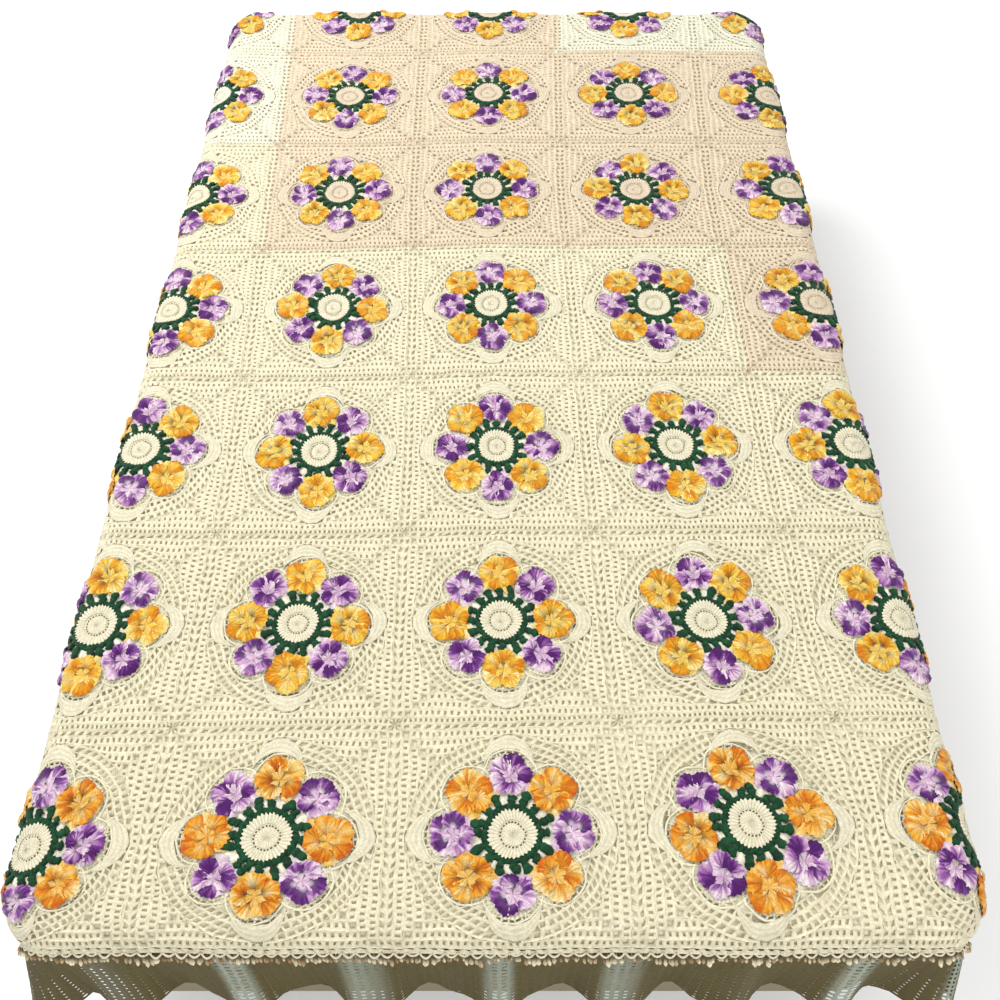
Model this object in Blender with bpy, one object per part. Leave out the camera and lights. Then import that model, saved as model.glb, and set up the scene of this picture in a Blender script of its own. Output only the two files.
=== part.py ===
"""A crochet bedspread of joined square motifs, lying on a plain bed.

The bedspread is a panel of squares, a picot frill along its edge and a net flounce below the frill.
It lies on a mattress with rounded edges. The foot of the bed is at -Y. Units are metres, +Z is up.
"""

import math

import bmesh
import bpy
import numpy as np

# The panel of squares, as it lies flat.
SQUARE_WIDTH, SQUARE_LENGTH = 0.290, 0.310
COLUMNS, ROWS = 5, 7
SHEET = 0.003  # thickness of the crochet

# The bed.
MATTRESS_WIDTH, MATTRESS_LENGTH, MATTRESS_HEIGHT = 1.20, 2.00, 0.20
MATTRESS_EDGE = 0.035  # radius of the long edges
MATTRESS_CORNER = 0.070  # radius of the corners, seen from above
BASE_HEIGHT, BASE_INSET = 0.25, 0.010
FOOT_HEIGHT, FOOT_RADIUS, FOOT_INSET = 0.080, 0.030, 0.120
FACE_GAP = 0.0003  # between pieces that stand on each other

# How the panel lies: just clear of the mattress, with the foot end's edge part way round the roll.
CLEARANCE = 0.003
NEAR_TURN = math.radians(75)
SIDE_WAVE, SIDE_WAVE_LENGTH = 0.007, 0.31
CORNER_FOLD = {"near": 0.015, "far": 0.045}

# The edging.
EDGE_GAP = 0.001
FLOUNCE_DROP, FLOUNCE_FOLD, FLOUNCE_FOLD_LENGTH = 0.235, 0.042, 0.155
SCALLOP_DEPTH = 0.016
FRILL_LENGTH, FRILL_TOOTH, FRILL_SLANT = 0.024, 0.005, math.radians(30)

# How finely the sheets are divided.
CORNER_STEPS = 12
FINE_PITCH = 0.035
ROLL_STEPS, DROP_STEPS, FLOUNCE_STEPS = 4, 3, 3

ROLL = MATTRESS_EDGE + CLEARANCE + SHEET / 2
CORNER_CORE = MATTRESS_CORNER - MATTRESS_EDGE
CORE_X = MATTRESS_WIDTH / 2 - MATTRESS_CORNER
CORE_Y = MATTRESS_LENGTH / 2 - MATTRESS_CORNER
BASE_BOTTOM = FOOT_HEIGHT + FACE_GAP
MATTRESS_BOTTOM = BASE_BOTTOM + BASE_HEIGHT + FACE_GAP
MATTRESS_TOP = MATTRESS_BOTTOM + MATTRESS_HEIGHT
CLOTH_TOP = MATTRESS_TOP + CLEARANCE + SHEET / 2

# How far the flat panel reaches from the core's edge: at the sides, the foot end and the head end.
SIDE_REACH = COLUMNS * SQUARE_WIDTH / 2 - CORE_X
NEAR_REACH = CORNER_CORE + ROLL * NEAR_TURN
FAR_REACH = ROWS * SQUARE_LENGTH - 2 * CORE_Y - NEAR_REACH


def smooth(x):
    """Runs smoothly from 0 to 1 as x does."""
    x = np.clip(x, 0, 1)
    return x * x * (3 - 2 * x)


def edge_columns(fine):
    """The columns round the panel, counterclockwise from the near right corner.

    Each is a point on the core rectangle, an outward direction, and the panel's reach from there.
    """
    step = FINE_PITCH if fine else 2 * FINE_PITCH
    side_count = round(2 * CORE_Y / (2 * FINE_PITCH)) * round(2 * FINE_PITCH / step)
    end_count = round(2 * CORE_X / (2 * FINE_PITCH)) * round(2 * FINE_PITCH / step)
    core, out, reach = [], [], []
    corners = [(1, -1, -90, end_count), (1, 1, 0, side_count), (-1, 1, 90, end_count), (-1, -1, 180, side_count)]
    for i, (sx, sy, start, _) in enumerate(corners):
        end_reach = FAR_REACH if sy > 0 else NEAR_REACH
        for angle in np.radians(start + np.linspace(0, 90, CORNER_STEPS + 1)):
            c, s = abs(math.cos(angle)), abs(math.sin(angle))
            core.append((sx * CORE_X, sy * CORE_Y))
            out.append((math.cos(angle), math.sin(angle)))
            reach.append(min(SIDE_REACH / max(c, 1e-9), end_reach / max(s, 1e-9)))
        next_x, next_y, _, count = corners[(i + 1) % 4]
        for k in range(1, count):
            t = k / count
            core.append(((sx + (next_x - sx) * t) * CORE_X, (sy + (next_y - sy) * t) * CORE_Y))
            out.append(out[-1])
            reach.append(reach[-1])
    return np.array(core), np.array(out), np.array(reach)


def panel_fold(core, out, depth):
    """How far the hanging panel stands out in its folds: long waves at the sides, a fold at each corner."""
    corner = (2 * out[:, 0] * out[:, 1]) ** 2
    size = np.where(core[:, 1] > 0, CORNER_FOLD["far"], CORNER_FOLD["near"])
    along = core[:, 0] + core[:, 1] + CORE_X + CORE_Y
    wave = 0.5 - 0.5 * np.cos(2 * math.pi * along / SIDE_WAVE_LENGTH)
    straight = smooth((CORE_X + CORE_Y - np.abs(core).sum(1)) / 0.1)
    return smooth((depth - 0.03) / 0.15) * (size * corner + SIDE_WAVE * wave * straight)


def panel_points(core, out, depth):
    """Points of the panel at a depth, measured along the cloth from where it leaves the flat top."""
    turn = np.clip(depth / ROLL, 0, math.pi / 2)
    fold = panel_fold(core, out, depth)
    reach = CORNER_CORE + ROLL * np.sin(turn) + fold
    drop = ROLL * (1 - np.cos(turn)) + np.maximum(depth - ROLL * math.pi / 2, 0)
    return np.column_stack([core + out * reach[:, None], CLOTH_TOP - drop])


def hem_frame(core, out, reach):
    """The panel's lower edge, the level direction away from the bed along it, and its steepness.

    The steepness is how much longer an upright step across a gap is than the gap.
    """
    hem = panel_points(core, out, reach - CORNER_CORE)
    along = np.roll(hem, -1, 0) - np.roll(hem, 1, 0)
    level = np.linalg.norm(along[:, :2], axis=1)
    outward = np.column_stack([along[:, 1], -along[:, 0]]) / level[:, None]
    return hem, outward, np.linalg.norm(along, axis=1) / level


def flounce_points(core, out, reach, share):
    """Points of the flounce at a share of its drop. Its folds open towards a scalloped hem."""
    hem, outward, steep = hem_frame(core, out, reach)
    gone = np.linalg.norm(np.diff(hem, axis=0, prepend=hem[-1:]), axis=1).cumsum()
    folds = round(gone[-1] / FLOUNCE_FOLD_LENGTH)
    turns = folds * gone / gone[-1]
    wave = 0.5 - 0.5 * np.cos(2 * math.pi * turns + 0.9 * np.sin(2 * math.pi * turns * 5 / folds))
    scallop = SCALLOP_DEPTH * (np.arange(len(hem)) % 2)
    corner = 1 - 0.6 * (2 * out[:, 0] * out[:, 1]) ** 2
    bulge = FLOUNCE_FOLD * share**1.4 * wave * corner
    points = hem.copy()
    points[:, :2] += outward * bulge[:, None]
    points[:, 2] -= (SHEET / 2 + EDGE_GAP) * steep + share * FLOUNCE_DROP - share**4 * scallop
    return points


def frill_points(core, out, reach, length):
    """Points of the frill at a length from its top, on the outer side of the joint. It slants out."""
    hem, outward, _ = hem_frame(core, out, reach)
    offset = SHEET + EDGE_GAP + length * math.sin(FRILL_SLANT)
    points = hem.copy()
    points[:, :2] += outward * offset[:, None]
    points[:, 2] += EDGE_GAP - length * math.cos(FRILL_SLANT)
    return points


def material(name, colour, roughness):
    made = bpy.data.materials.new(name)
    made.use_nodes = True
    surface = made.node_tree.nodes["Principled BSDF"]
    surface.inputs["Base Color"].default_value = (*colour, 1)
    surface.inputs["Roughness"].default_value = roughness
    surface.inputs["Metallic"].default_value = 0
    return made


def add_object(name, bm, surface):
    """Links a bmesh as a named object, with its faces turned outward."""
    bmesh.ops.recalc_face_normals(bm, faces=bm.faces)
    mesh = bpy.data.meshes.new(name)
    bm.to_mesh(mesh)
    bm.free()
    mesh.materials.append(surface)
    made = bpy.data.objects.new(name, mesh)
    bpy.context.scene.collection.objects.link(made)
    return made


def sheet(name, rings, surface, thickness, closed_top=False):
    """A sheet through closed rings of points, thickened evenly to both sides."""
    bm = bmesh.new()
    rows = [[bm.verts.new(p) for p in ring] for ring in rings]
    if closed_top:
        bm.faces.new(rows[0])
    for upper, lower in zip(rows, rows[1:]):
        for i in range(len(upper)):
            j = (i + 1) % len(upper)
            bm.faces.new((upper[i], lower[i], lower[j], upper[j]))
    made = add_object(name, bm, surface)
    solid = made.modifiers.new("thickness", "SOLIDIFY")
    solid.thickness = thickness
    solid.offset = 0
    return made


def make_panel(surface):
    core, out, reach = edge_columns(fine=False)
    deepest = reach - CORNER_CORE
    knee = np.minimum(ROLL * math.pi / 2, 0.62 * deepest)
    depths = [knee * k / ROLL_STEPS for k in range(ROLL_STEPS + 1)]
    depths += [knee + (deepest - knee) * k / DROP_STEPS for k in range(1, DROP_STEPS + 1)]
    sheet("bedspread_top", [panel_points(core, out, d) for d in depths], surface, SHEET, closed_top=True)


def make_flounce(surface):
    edge = edge_columns(fine=True)
    shares = [k / FLOUNCE_STEPS for k in range(FLOUNCE_STEPS + 1)]
    sheet("net_flounce", [flounce_points(*edge, share) for share in shares], surface, SHEET)


def make_frill(surface):
    core, out, reach = edge_columns(fine=True)
    tooth = FRILL_TOOTH * (np.arange(len(core)) % 2)
    lengths = [np.zeros(len(core)), FRILL_LENGTH - tooth]
    sheet("picot_frill", [frill_points(core, out, reach, x) for x in lengths], surface, SHEET)


def rounded_block(name, size, bottom, corner, edge, surface):
    """A block with round corners, seen from above, and smaller rounds along its top and bottom."""
    bm = bmesh.new()
    bmesh.ops.create_cube(bm, size=1)
    bmesh.ops.scale(bm, vec=size, verts=bm.verts)
    bmesh.ops.translate(bm, vec=(0, 0, bottom + size[2] / 2), verts=bm.verts)
    upright = [e for e in bm.edges if abs(e.verts[0].co.z - e.verts[1].co.z) > size[2] / 2]
    bmesh.ops.bevel(bm, geom=upright, offset=corner, segments=8, profile=0.5, affect="EDGES")
    level = [e for e in bm.edges if abs(e.verts[0].co.z - e.verts[1].co.z) < 1e-6]
    bmesh.ops.bevel(bm, geom=level, offset=edge, segments=4, profile=0.5, affect="EDGES")
    add_object(name, bm, surface)


def make_bed(ticking, cover, wood):
    mattress = (MATTRESS_WIDTH, MATTRESS_LENGTH, MATTRESS_HEIGHT)
    rounded_block("mattress", mattress, MATTRESS_BOTTOM, MATTRESS_CORNER, MATTRESS_EDGE, ticking)
    base = (MATTRESS_WIDTH - 2 * BASE_INSET, MATTRESS_LENGTH - 2 * BASE_INSET, BASE_HEIGHT)
    rounded_block("bed_base", base, BASE_BOTTOM, MATTRESS_CORNER - BASE_INSET, 0.008, cover)
    for end, sy in (("foot_end", -1), ("head_end", 1)):
        for side, sx in (("left", -1), ("right", 1)):
            bm = bmesh.new()
            bmesh.ops.create_cone(
                bm, cap_ends=True, segments=20, radius1=0.8 * FOOT_RADIUS, radius2=FOOT_RADIUS, depth=FOOT_HEIGHT
            )
            foot = add_object(f"bed_foot_{end}_{side}", bm, wood)
            x, y = MATTRESS_WIDTH / 2 - FOOT_INSET, MATTRESS_LENGTH / 2 - FOOT_INSET
            foot.location = (sx * x, sy * y, FOOT_HEIGHT / 2)


def centre_on_floor():
    """Moves the whole object so that its box stands centred on the origin."""
    bpy.context.view_layer.update()
    graph = bpy.context.evaluated_depsgraph_get()
    points = []
    for ob in bpy.context.scene.objects:
        shown = ob.evaluated_get(graph)
        points += [shown.matrix_world @ v.co for v in shown.data.vertices]
    points = np.array(points)
    middle = (points.min(0) + points.max(0)) / 2
    for ob in bpy.context.scene.objects:
        ob.location.x -= middle[0]
        ob.location.y -= middle[1]


for old in list(bpy.data.objects):
    bpy.data.objects.remove(old)
cream = material("cream_cotton", (0.83, 0.78, 0.62), 0.9)
net = material("net_cotton", (0.72, 0.71, 0.62), 0.9)
make_panel(cream)
make_frill(cream)
make_flounce(net)
make_bed(
    material("mattress_ticking", (0.62, 0.56, 0.42), 0.9),
    material("base_fabric", (0.27, 0.25, 0.18), 0.95),
    material("foot_wood", (0.12, 0.07, 0.04), 0.5),
)
centre_on_floor()
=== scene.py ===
import math

import bpy
import numpy as np
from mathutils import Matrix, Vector


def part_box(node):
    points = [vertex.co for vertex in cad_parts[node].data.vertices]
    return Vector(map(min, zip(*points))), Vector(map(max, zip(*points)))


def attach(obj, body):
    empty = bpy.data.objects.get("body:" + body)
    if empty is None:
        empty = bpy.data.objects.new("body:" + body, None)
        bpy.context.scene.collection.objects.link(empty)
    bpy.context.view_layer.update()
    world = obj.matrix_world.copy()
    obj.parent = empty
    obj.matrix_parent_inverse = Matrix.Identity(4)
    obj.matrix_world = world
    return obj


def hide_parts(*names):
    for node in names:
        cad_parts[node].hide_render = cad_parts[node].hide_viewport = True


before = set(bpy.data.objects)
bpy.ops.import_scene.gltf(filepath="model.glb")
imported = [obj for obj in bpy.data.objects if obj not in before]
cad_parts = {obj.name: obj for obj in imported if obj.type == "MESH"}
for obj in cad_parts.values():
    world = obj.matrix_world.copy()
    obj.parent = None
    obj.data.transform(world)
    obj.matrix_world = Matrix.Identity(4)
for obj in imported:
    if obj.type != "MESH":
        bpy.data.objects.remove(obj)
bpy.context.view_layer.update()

mattressLow, mattressHigh = (np.array(corner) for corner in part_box("mattress"))
bedMiddle = (mattressLow + mattressHigh) / 2

panel = {
    "squareWidth": 0.290,
    "squareLength": 0.310,
    "columns": 5,
    "rows": 7,
    "clearance": 0.003,
    "sheet": 0.003,
    "mattressEdge": 0.035,
    "mattressCorner": 0.070,
    "nearTurn": math.radians(75),  # how far round the mattress's edge the near hem lies
    "sideWave": 0.007,
    "sideWaveLength": 0.31,
    "cornerFold": {"near": 0.015, "far": 0.045},
    "foldStart": 0.03,
    "foldGrowth": 0.15,
    "foldEnd": 0.1,
}
rollRadius = panel["mattressEdge"] + panel["clearance"] + panel["sheet"] / 2
cornerCore = panel["mattressCorner"] - panel["mattressEdge"]
coreX = (mattressHigh - mattressLow)[0] / 2 - panel["mattressCorner"]
coreY = (mattressHigh - mattressLow)[1] / 2 - panel["mattressCorner"]
clothTop = mattressHigh[2] + panel["clearance"] + panel["sheet"] / 2
halfWide = panel["columns"] * panel["squareWidth"] / 2
clothNear = -(coreY + cornerCore + rollRadius * panel["nearTurn"])
clothFar = clothNear + panel["rows"] * panel["squareLength"]

# Each row of squares as it lies: which pansies point to the sides (P purple, Y yellow), the dye lot
# (C cream, R rosy, W white), how wide it is stretched, how orange its yarn is, and how far each
# square has slipped across and along the bed, in millimetres.
squareRows = [
    {"toSides": "PYPYY", "dyeLot": "CCCCC", "stretch": 1.050, "orange": 1.00,
     "across": [18, 21, 24, 20, 15], "along": [-29, -16, -12, 3, 3]},
    {"toSides": "YYYPP", "dyeLot": "CCCCC", "stretch": 1.006, "orange": 0.25,
     "across": [19, 13, 9, 9, -4], "along": [-31, -29, -24, -24, -21]},
    {"toSides": "PYPYY", "dyeLot": "CCCCC", "stretch": 0.982, "orange": 0.10,
     "across": [11, 6, 2, 3, -2], "along": [-30, -35, -24, -22, -19]},
    {"toSides": "PYPPP", "dyeLot": "CCCCR", "stretch": 0.985, "orange": 0.20,
     "across": [2, 0, -9, -5, -6], "along": [-32, -29, -18, -17, -15]},
    {"toSides": "PPPYP", "dyeLot": "CRRRR", "stretch": 0.985, "orange": 0.05,
     "across": [-9, -17, -17, -16, -9], "along": [-36, -28, -16, -19, -15]},
    {"toSides": "PPPYY", "dyeLot": "WRRRR", "stretch": 1.015, "orange": 0.05,
     "across": [-5, -15, -17, -14, -9], "along": [-21, -31, -16, -16, -27]},
    {"toSides": "PYYYP", "dyeLot": "WRRWW", "stretch": 1.050, "orange": 0.0,
     "across": [-8, -10, -15, -10, -8], "along": [-8, -14, -10, -6, -8]},
]
allSquares = [(row, column) for row in range(panel["rows"]) for column in range(panel["columns"])]
wheelTurns = {(0, 3): 9, (1, 3): 6, (0, 1): -4, (2, 3): 5, (3, 1): -5, (4, 3): -3}  # degrees


def linear(red, green, blue):
    # a screen colour from 0 to 255 as the linear colour that a shader takes
    c = np.array([red, green, blue]) / 255
    return np.where(c > 0.04045, ((c + 0.055) / 1.055) ** 2.4, c / 12.92)


def toned(colour, tone):
    # a colour at a tone, kept under the brightness of white cotton
    return np.minimum(colour * tone, 0.95)


def smooth(x):
    # rises from 0 to 1 with level ends
    x = np.clip(x, 0, 1)
    return x * x * (3 - 2 * x)


def unit(vectors):
    # vectors at a length of one
    return vectors / np.maximum(np.linalg.norm(vectors, axis=-1, keepdims=True), 1e-12)


def polar(radius, angle):
    # points at a radius and an angle from a middle
    return np.stack([radius * np.cos(angle), radius * np.sin(angle)], -1)


def paired(x, y):
    # points from their x and their y
    return np.stack(np.broadcast_arrays(x, y), -1)


def onTable(table, x, y):
    # a table with one value for each square, read smoothly between the middles of the squares
    a = np.clip(x / panel["squareWidth"] + (panel["columns"] - 1) / 2, 0, panel["columns"] - 1.001)
    b = np.clip((y - clothNear) / panel["squareLength"] - 0.5, 0, panel["rows"] - 1.001)
    i, j = b.astype(int), a.astype(int)
    b, a = b - i, a - j
    low = table[i, j] * (1 - a) + table[i, j + 1] * a
    return low * (1 - b) + (table[i + 1, j] * (1 - a) + table[i + 1, j + 1] * a) * b


slips = {key: np.array([row[key] for row in squareRows]) / 1000 for key in ("across", "along")}
slips["stretch"] = np.array([[row["stretch"] - 1] * panel["columns"] for row in squareRows])

# how far in from the hem the slips take hold, and how far the stitches wander and the cloth swells
handwork = {
    "sideHold": 0.145,
    "endHold": 0.155,
    "stretchHold": 0.275,
    "wander": 0.0007,
    "slowWander": 0.0006,
    "rise": 0.0012,
    "swell": 0.0008,
}


def slip(x, y):
    # where handwork has let a flat point slip: each row's stretch and each square's own shift, eased
    # off to the hem, plus small waves 14 to 70 mm long
    edge = halfWide - np.abs(x)
    hold = smooth(edge / handwork["sideHold"])
    ends = smooth(np.minimum(y - clothNear, clothFar - y) / handwork["endHold"])
    little, less = handwork["wander"], handwork["slowWander"]
    wander = little * np.sin(71 * x + 93 * y) + less * np.sin(158 * y - 64 * x + 1.7)
    wander = wander + little * np.sin(410 * y + 190 * x) * np.sin(97 * x + 1)
    stretch = x * onTable(slips["stretch"], x, y) * smooth(edge / handwork["stretchHold"])
    newX = x + stretch + hold * onTable(slips["across"], x, y) + wander
    newY = y + hold * ends * onTable(slips["along"], x, y) + little * np.sin(83 * x - 77 * y + 0.8)
    newY = newY + little * np.sin(430 * x - 170 * y + 2) * np.sin(89 * y)
    return newX, newY


def foldOut(cx, cy, ox, oy, depth):
    # how far the hanging cloth stands out: long waves along the sides and one fold at each corner
    corner = (2 * ox * oy) ** 2
    size = np.where(cy > 0, panel["cornerFold"]["far"], panel["cornerFold"]["near"])
    wave = 0.5 - 0.5 * np.cos(2 * math.pi * (cx + cy + coreX + coreY) / panel["sideWaveLength"])
    straight = smooth((coreX + coreY - np.abs(cx) - np.abs(cy)) / panel["foldEnd"])
    grown = smooth((depth - panel["foldStart"]) / panel["foldGrowth"])
    return grown * (size * corner + panel["sideWave"] * wave * straight)


def drape(x, y):
    # a flat point on the bed: flat over the core, a quarter round over the edge, then down in folds
    cx, cy = np.clip(x, -coreX, coreX), np.clip(y, -coreY, coreY)
    away = np.hypot(x - cx, y - cy)
    ox, oy = (x - cx) / np.maximum(away, 1e-9), (y - cy) / np.maximum(away, 1e-9)
    depth = away - cornerCore
    turn = np.clip(depth / rollRadius, 0, math.pi / 2)
    hanging = cornerCore + rollRadius * np.sin(turn) + foldOut(cx, cy, ox, oy, depth)
    reach = np.where(depth > 0, hanging, away)
    drop = rollRadius * (1 - np.cos(turn)) + np.maximum(depth - rollRadius * math.pi / 2, 0)
    x, y = cx + ox * reach + bedMiddle[0], cy + oy * reach + bedMiddle[1]
    return np.stack([x, y, clothTop - drop], -1)


def lay(flat, height):
    # flat points on the draped cloth, each lifted by its height along the cloth's normal; every square
    # is a little pillowed, and long waves run through all of it
    x, y = slip(flat[..., 0], flat[..., 1])
    step = 0.0004
    across = drape(x + step, y) - drape(x - step, y)
    along = drape(x, y + step) - drape(x, y - step)
    normal = unit(np.cross(across, along))
    swell = handwork["rise"] + handwork["swell"] * np.sin(19 * x + 7 * y) * np.sin(13 * y - 5 * x)
    a, b = flat[..., 0] / panel["squareWidth"], (flat[..., 1] - clothNear) / panel["squareLength"]
    swell = swell + handwork["swell"] * (np.cos(2 * math.pi * a) - np.cos(2 * math.pi * b))
    return drape(x, y) + normal * (height + swell)[..., None]


def onSquare(row, column, turn=0.0):
    # gives the function that lays out a square's own points, in squares from its middle and turned
    # about it, as flat points in metres
    c, s = math.cos(turn), math.sin(turn)

    def place(points):
        a = points[..., 0] * c - points[..., 1] * s
        b = points[..., 0] * s + points[..., 1] * c
        x = (column - (panel["columns"] - 1) / 2 + a) * panel["squareWidth"]
        return paired(x, clothNear + (row + 0.5 + b) * panel["squareLength"])

    return place


def newObject(name, data):
    # an object of its data, put in the scene
    made = bpy.data.objects.new(name, data)
    bpy.context.scene.collection.objects.link(made)
    return made


weldSize = 0.00005  # corners of neighbouring cells closer than this are made one


class Mesh:
    # gathers vertices, faces and yarn colours as whole arrays, then makes one object of them
    def __init__(self):
        self.points, self.faces, self.colours, self.count = [], [], [], 0

    def add(self, points, faces, colours):
        points = points.reshape(-1, 3)
        self.points.append(points)
        self.faces.append(faces + self.count)
        self.colours.append(np.broadcast_to(colours, (len(points), 3)))
        self.count += len(points)

    def build(self, name, material, slot, replaces=(), weld=False):
        # one piece of all that was added, its coinciding corners joined when it is to be welded
        points, colours = np.concatenate(self.points), np.concatenate(self.colours)
        corners = np.concatenate([f.ravel() for f in self.faces])
        sizes = np.concatenate([np.full(len(f), f.shape[1]) for f in self.faces])
        if weld:
            keys = np.round(points / weldSize).astype(np.int64)
            _, first, back = np.unique(keys, axis=0, return_index=True, return_inverse=True)
            points, colours, corners = points[first], colours[first], back.ravel()[corners]
        mesh = bpy.data.meshes.new(name)
        mesh.vertices.add(len(points))
        mesh.vertices.foreach_set("co", points.ravel().astype(np.float32))
        mesh.loops.add(len(corners))
        mesh.loops.foreach_set("vertex_index", corners.astype(np.int32))
        mesh.polygons.add(len(sizes))
        mesh.polygons.foreach_set("loop_start", (np.cumsum(sizes) - sizes).astype(np.int32))
        mesh.update(calc_edges=True)
        mesh.validate()
        mesh.shade_smooth()
        yarn = mesh.color_attributes.new("yarn", "FLOAT_COLOR", "POINT")
        yarn.data.foreach_set("color", np.column_stack([colours, np.ones(len(colours))]).ravel())
        mesh.materials.append(material)
        made = newObject(name, mesh)
        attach(made, "root")
        if replaces:
            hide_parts(*replaces)
        print(name, "has", int((sizes - 2).sum()), "triangles")
        return made


def gridFaces(rows, columns, closed=False, repeats=1):
    # quads of a grid of rows x columns vertices, closed round its columns or not, for each repeat of it;
    # a cell round its hole is such a grid of two closed rows
    i, j = np.meshgrid(np.arange(rows - 1), np.arange(columns if closed else columns - 1), indexing="ij")
    k = (j + 1) % columns
    quads = np.stack([i * columns + j, i * columns + k, (i + 1) * columns + k, (i + 1) * columns + j], -1)
    quads = quads.reshape(-1, 4)
    return (quads[None] + (np.arange(repeats) * rows * columns)[:, None, None]).reshape(-1, 4)


# ---- materials


def setInputs(node, values):
    # a node with its own input values set by name or number
    for name, value in values.items():
        node.inputs[name].default_value = value
    return node


def newMaterial(name, values):
    # a material whose main surface has the given values, and Object coordinates for its textures
    made = bpy.data.materials.new(name)
    made.use_nodes = True
    nodes, links = made.node_tree.nodes, made.node_tree.links
    surface = setInputs(nodes["Principled BSDF"], values)
    return made, nodes, links, surface, nodes.new("ShaderNodeTexCoord").outputs["Object"]


def addBump(nodes, links, surface, height, strength, distance):
    # relief on a surface from a texture's height
    raised = setInputs(nodes.new("ShaderNodeBump"), {"Strength": strength, "Distance": distance})
    links.new(height, raised.inputs["Height"])
    links.new(raised.outputs["Normal"], surface.inputs["Normal"])


def cottonMaterial(name, stitch, bump, sheen, shade=0.12):
    # cotton yarn: its colour comes from the mesh, with mottling a few stitches wide, painted shade that
    # darkens the furrows between stitches, and two sizes of bump for the stitches and for the twist of the
    # yarn
    values = {"Roughness": 0.88, "Sheen Weight": sheen, "Sheen Roughness": 0.5, "Specular IOR Level": 0.25}
    made, nodes, links, surface, place = newMaterial(name, values)
    yarn = nodes.new("ShaderNodeAttribute")
    yarn.attribute_name = "yarn"
    mottle = setInputs(nodes.new("ShaderNodeTexNoise"), {"Scale": 1 / stitch / 3, "Detail": 3})
    stitches = setInputs(nodes.new("ShaderNodeTexVoronoi"), {"Scale": 1 / stitch})
    twist = setInputs(nodes.new("ShaderNodeTexNoise"), {"Scale": 3 / stitch, "Detail": 2})
    for texture in (mottle, stitches, twist):
        links.new(place, texture.inputs["Vector"])
    # painted shade: the base colour darkens towards the edges of the stitch cells, where the furrows lie
    ranges = {"From Min": 0.15, "From Max": 0.75, "To Min": 1.0, "To Max": 1 - 1.6 * shade}
    furrowShade = setInputs(nodes.new("ShaderNodeMapRange"), ranges)
    links.new(stitches.outputs["Distance"], furrowShade.inputs["Value"])
    ranges = {"From Min": 0.3, "From Max": 0.7, "To Min": 1 - shade, "To Max": 1 + 0.6 * shade}
    light = setInputs(nodes.new("ShaderNodeMapRange"), ranges)
    links.new(mottle.outputs["Fac"], light.inputs["Value"])
    both = nodes.new("ShaderNodeMath")
    both.operation = "MULTIPLY"
    links.new(furrowShade.outputs["Result"], both.inputs[0])
    links.new(light.outputs["Result"], both.inputs[1])
    tinted = nodes.new("ShaderNodeVectorMath")
    tinted.operation = "SCALE"
    links.new(yarn.outputs["Color"], tinted.inputs[0])
    links.new(both.outputs["Value"], tinted.inputs["Scale"])
    links.new(tinted.outputs["Vector"], surface.inputs["Base Color"])
    relief = setInputs(nodes.new("ShaderNodeMath"), {1: -0.8})
    relief.operation = "MULTIPLY_ADD"
    links.new(stitches.outputs["Distance"], relief.inputs[0])
    links.new(twist.outputs["Fac"], relief.inputs[2])
    addBump(nodes, links, surface, relief.outputs["Value"], bump, stitch * 0.4)
    return made


creamCotton = cottonMaterial("creamCotton", 0.0022, 0.35, 0.15)
greenCotton = cottonMaterial("greenCotton", 0.0026, 0.5, 0.1, 0.25)
pansyCotton = cottonMaterial("pansyCotton", 0.0020, 0.45, 0.15, 0.16)
netCotton = cottonMaterial("netCotton", 0.0020, 0.3, 0.02)

creams = {
    "C": linear(243, 235, 204),
    "R": linear(237, 219, 190),
    "W": linear(244, 241, 217),
}


def dyeLot(row, column):
    # the cream yarn of a square, or of the nearest square past the panel's edge
    row, column = min(max(row, 0), panel["rows"] - 1), min(max(column, 0), panel["columns"] - 1)
    return creams[squareRows[row]["dyeLot"][column]]


# ---- the openwork ground of each square

# radii, rows and pitches are in squares, heights in metres; a hole is its shares of its cell along
# and across, then its slant and taper
ground = {
    "crest": 0.0018,
    "rim": -0.0012,
    "bright": 0.995,
    "shaded": 0.86,
    # how open the cells are in each row of squares, from the foot end
    "openness": [1.03, 0.98, 0.90, 0.86, 0.82, 0.82, 0.88],
    "rounds": [0.338, 0.372, 0.406, 0.441],
    "roundCells": 72,
    "roundLean": 0.35,
    "roundHoles": (0.60, 0.56, 0.18, 0.8),
    "clearOfScallops": math.radians(9),
    "clearOfCrescents": np.radians([0, 11, 2]),
    "rows": [0.470, 0.4305, 0.391, 0.3515, 0.312],
    "barPitch": 0.0287,
    "barHoles": (0.38, 0.46),
    "barCrest": 0.0015,
    "shortestBar": 0.012,
    "mitreHoles": (0.50, 0.50),
    "mitre": {"rim": -0.0018, "shaded": 0.6},
}

seam = {
    "archPitch": 0.0427,
    "archHoles": (0.62, 0.5, 0.0, 0.6),
    "archLean": 0.5,
    "closePitch": 0.024,
    "closeHoles": (0.42, 0.5, 0.0, 1.0),
    "crest": [0.0016, 0.0016, 0.0024, 0.0024],
    "starCrest": 0.0024,
    "starHub": 0.16,
    "starHoles": (0.6, 0.4),
    "endHoles": (0.5, 0.5),
}


def openCells(corners, alongShare, acrossShare, slant=0.0, taper=1.0):
    # cells of four corners in order round the hole; the hole is a trapezium about the cell's middle,
    # a share of it along the row and across it, leaning by the slant and narrower to its far side
    corners = np.asarray(corners, float)
    middle = corners.mean(-2, keepdims=True)
    along = (corners[:, 1] - corners[:, 0] + corners[:, 2] - corners[:, 3])[:, None] / 4
    across = (corners[:, 3] - corners[:, 0] + corners[:, 2] - corners[:, 1])[:, None] / 4
    signA = np.array([-1, 1, taper, -taper])[None, :, None]
    signB = np.array([-1, -1, 1, 1])[None, :, None]
    inner = middle + along * (signA * alongShare + signB * slant) + across * signB * acrossShare
    return corners, inner


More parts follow.
